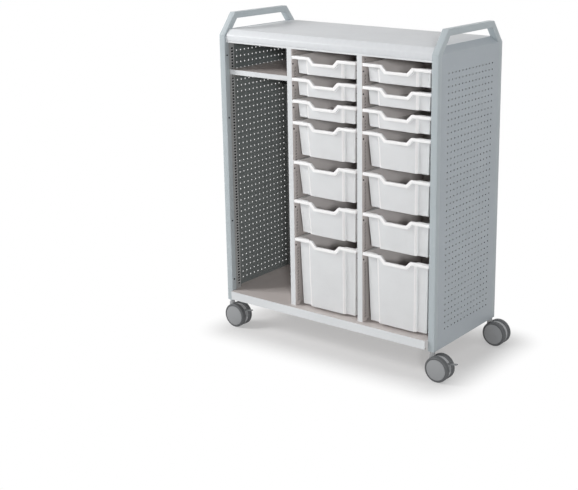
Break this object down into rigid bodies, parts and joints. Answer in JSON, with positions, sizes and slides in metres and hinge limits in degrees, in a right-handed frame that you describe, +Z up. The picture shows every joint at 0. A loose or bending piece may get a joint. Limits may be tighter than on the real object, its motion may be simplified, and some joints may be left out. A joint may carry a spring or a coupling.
{
  "type": "tote storage cabinet",
  "caption": "Mobile steel storage cabinet with perforated sides, push handles, worktop, open bay with a shelf, columns of pull-out totes and swivel casters.",
  "frame": {"origin": "centre of the overall footprint, on the floor under the casters", "axes": "+X to the right seen from the front, +Y to the back, +Z up"},
  "size_m": [1.177, 0.523, 1.3717],
  "materials": {
    "frame_paint": "satin powder coat",
    "panel_paint": "satin powder coat",
    "worktop_laminate": "matte laminate",
    "body_paint": "satin powder coat",
    "tote_plastic": "matte moulded plastic",
    "clip_plastic": "matte moulded plastic",
    "screw_steel": "dark plated",
    "socket_plastic": "matte moulded plastic",
    "caster_steel": "plated",
    "caster_hood": "matte moulded plastic",
    "caster_wheel": "matte"
  },
  "bodies": {
    "cabinet": {"left_side_frame": "frame_paint", "right_side_frame": "frame_paint", "left_side_panel": "panel_paint", "right_side_panel": "panel_paint", "worktop": "worktop_laminate", "top_deck": "body_paint", "base_pan": "body_paint", "back_panel": "body_paint", "bay_shelf": "body_paint", "left_divider_sheet": "body_paint", "right_divider_sheet": "body_paint", "left_divider_uprights": "body_paint", "right_divider_uprights": "body_paint", "left_side_uprights": "body_paint", "right_side_uprights": "body_paint", "middle_bay_runners": "body_paint", "right_bay_runners": "body_paint", "shelf_clips": "clip_plastic", "runner_screws": "screw_steel", "post_screws": "screw_steel", "caster_sockets": "socket_plastic", "caster_front_left_stem": "caster_steel", "caster_front_right_stem": "caster_steel", "caster_rear_left_stem": "caster_steel", "caster_rear_right_stem": "caster_steel"},
    "tote_middle_1": {"tote_middle_1": "tote_plastic"},
    "tote_middle_2": {"tote_middle_2": "tote_plastic"},
    "tote_middle_3": {"tote_middle_3": "tote_plastic"},
    "tote_middle_4": {"tote_middle_4": "tote_plastic"},
    "tote_middle_5": {"tote_middle_5": "tote_plastic"},
    "tote_middle_6": {"tote_middle_6": "tote_plastic"},
    "tote_middle_7": {"tote_middle_7": "tote_plastic"},
    "tote_right_1": {"tote_right_1": "tote_plastic"},
    "tote_right_2": {"tote_right_2": "tote_plastic"},
    "tote_right_3": {"tote_right_3": "tote_plastic"},
    "tote_right_4": {"tote_right_4": "tote_plastic"},
    "tote_right_5": {"tote_right_5": "tote_plastic"},
    "tote_right_6": {"tote_right_6": "tote_plastic"},
    "tote_right_7": {"tote_right_7": "tote_plastic"},
    "caster_front_left_swivel": {"caster_front_left_hood": "caster_hood", "caster_front_left_axle": "caster_steel"},
    "caster_front_left_wheel_front": {"caster_front_left_wheel_front": "caster_wheel"},
    "caster_front_left_wheel_rear": {"caster_front_left_wheel_rear": "caster_wheel"},
    "caster_front_left_pedal": {"caster_front_left_pedal": "caster_hood"},
    "caster_front_right_swivel": {"caster_front_right_hood": "caster_hood", "caster_front_right_axle": "caster_steel"},
    "caster_front_right_wheel_front": {"caster_front_right_wheel_front": "caster_wheel"},
    "caster_front_right_wheel_rear": {"caster_front_right_wheel_rear": "caster_wheel"},
    "caster_front_right_pedal": {"caster_front_right_pedal": "caster_hood"},
    "caster_rear_left_swivel": {"caster_rear_left_hood": "caster_hood", "caster_rear_left_axle": "caster_steel"},
    "caster_rear_left_wheel_front": {"caster_rear_left_wheel_front": "caster_wheel"},
    "caster_rear_left_wheel_rear": {"caster_rear_left_wheel_rear": "caster_wheel"},
    "caster_rear_right_swivel": {"caster_rear_right_hood": "caster_hood", "caster_rear_right_axle": "caster_steel"},
    "caster_rear_right_wheel_front": {"caster_rear_right_wheel_front": "caster_wheel"},
    "caster_rear_right_wheel_rear": {"caster_rear_right_wheel_rear": "caster_wheel"}
  },
  "joints": [
    {"name": "tote_middle_1_slide", "type": "slide", "parent": "cabinet", "child": "tote_middle_1", "axis": [0, -1, 0], "range_m": [0, 0.3]},
    {"name": "tote_middle_2_slide", "type": "slide", "parent": "cabinet", "child": "tote_middle_2", "axis": [0, -1, 0], "range_m": [0, 0.3]},
    {"name": "tote_middle_3_slide", "type": "slide", "parent": "cabinet", "child": "tote_middle_3", "axis": [0, -1, 0], "range_m": [0, 0.3]},
    {"name": "tote_middle_4_slide", "type": "slide", "parent": "cabinet", "child": "tote_middle_4", "axis": [0, -1, 0], "range_m": [0, 0.3]},
    {"name": "tote_middle_5_slide", "type": "slide", "parent": "cabinet", "child": "tote_middle_5", "axis": [0, -1, 0], "range_m": [0, 0.3]},
    {"name": "tote_middle_6_slide", "type": "slide", "parent": "cabinet", "child": "tote_middle_6", "axis": [0, -1, 0], "range_m": [0, 0.3]},
    {"name": "tote_middle_7_slide", "type": "slide", "parent": "cabinet", "child": "tote_middle_7", "axis": [0, -1, 0], "range_m": [0, 0.3]},
    {"name": "tote_right_1_slide", "type": "slide", "parent": "cabinet", "child": "tote_right_1", "axis": [0, -1, 0], "range_m": [0, 0.3]},
    {"name": "tote_right_2_slide", "type": "slide", "parent": "cabinet", "child": "tote_right_2", "axis": [0, -1, 0], "range_m": [0, 0.3]},
    {"name": "tote_right_3_slide", "type": "slide", "parent": "cabinet", "child": "tote_right_3", "axis": [0, -1, 0], "range_m": [0, 0.3]},
    {"name": "tote_right_4_slide", "type": "slide", "parent": "cabinet", "child": "tote_right_4", "axis": [0, -1, 0], "range_m": [0, 0.3]},
    {"name": "tote_right_5_slide", "type": "slide", "parent": "cabinet", "child": "tote_right_5", "axis": [0, -1, 0], "range_m": [0, 0.3]},
    {"name": "tote_right_6_slide", "type": "slide", "parent": "cabinet", "child": "tote_right_6", "axis": [0, -1, 0], "range_m": [0, 0.3]},
    {"name": "tote_right_7_slide", "type": "slide", "parent": "cabinet", "child": "tote_right_7", "axis": [0, -1, 0], "range_m": [0, 0.3]},
    {"name": "caster_front_left_turn", "type": "hinge", "parent": "cabinet", "child": "caster_front_left_swivel", "pos_m": [-0.57, -0.2295, 0.1], "axis": [0, 0, 1], "continuous": true},
    {"name": "caster_front_left_wheel_front_roll", "type": "hinge", "parent": "caster_front_left_swivel", "child": "caster_front_left_wheel_front", "pos_m": [-0.536, -0.2295, 0.0525], "axis": [0, 1, 0], "continuous": true},
    {"name": "caster_front_left_wheel_rear_roll", "type": "hinge", "parent": "caster_front_left_swivel", "child": "caster_front_left_wheel_rear", "pos_m": [-0.536, -0.2295, 0.0525], "axis": [0, 1, 0], "continuous": true},
    {"name": "caster_front_left_pedal_press", "type": "hinge", "parent": "caster_front_left_swivel", "child": "caster_front_left_pedal", "pos_m": [-0.508, -0.2295, 0.0745], "axis": [0, 1, 0], "range_deg": [0, 20]},
    {"name": "caster_front_right_turn", "type": "hinge", "parent": "cabinet", "child": "caster_front_right_swivel", "pos_m": [0.475, -0.2295, 0.1], "axis": [0, 0, 1], "continuous": true},
    {"name": "caster_front_right_wheel_front_roll", "type": "hinge", "parent": "caster_front_right_swivel", "child": "caster_front_right_wheel_front", "pos_m": [0.509, -0.2295, 0.0525], "axis": [0, 1, 0], "continuous": true},
    {"name": "caster_front_right_wheel_rear_roll", "type": "hinge", "parent": "caster_front_right_swivel", "child": "caster_front_right_wheel_rear", "pos_m": [0.509, -0.2295, 0.0525], "axis": [0, 1, 0], "continuous": true},
    {"name": "caster_front_right_pedal_press", "type": "hinge", "parent": "caster_front_right_swivel", "child": "caster_front_right_pedal", "pos_m": [0.537, -0.2295, 0.0745], "axis": [0, 1, 0], "range_deg": [0, 20]},
    {"name": "caster_rear_left_turn", "type": "hinge", "parent": "cabinet", "child": "caster_rear_left_swivel", "pos_m": [-0.57, 0.2295, 0.1], "axis": [0, 0, 1], "continuous": true},
    {"name": "caster_rear_left_wheel_front_roll", "type": "hinge", "parent": "caster_rear_left_swivel", "child": "caster_rear_left_wheel_front", "pos_m": [-0.536, 0.2295, 0.0525], "axis": [0, 1, 0], "continuous": true},
    {"name": "caster_rear_left_wheel_rear_roll", "type": "hinge", "parent": "caster_rear_left_swivel", "child": "caster_rear_left_wheel_rear", "pos_m": [-0.536, 0.2295, 0.0525], "axis": [0, 1, 0], "continuous": true},
    {"name": "caster_rear_right_turn", "type": "hinge", "parent": "cabinet", "child": "caster_rear_right_swivel", "pos_m": [0.475, 0.2295, 0.1], "axis": [0, 0, 1], "continuous": true},
    {"name": "caster_rear_right_wheel_front_roll", "type": "hinge", "parent": "caster_rear_right_swivel", "child": "caster_rear_right_wheel_front", "pos_m": [0.509, 0.2295, 0.0525], "axis": [0, 1, 0], "continuous": true},
    {"name": "caster_rear_right_wheel_rear_roll", "type": "hinge", "parent": "caster_rear_right_swivel", "child": "caster_rear_right_wheel_rear", "pos_m": [0.509, 0.2295, 0.0525], "axis": [0, 1, 0], "continuous": true}
  ]
}
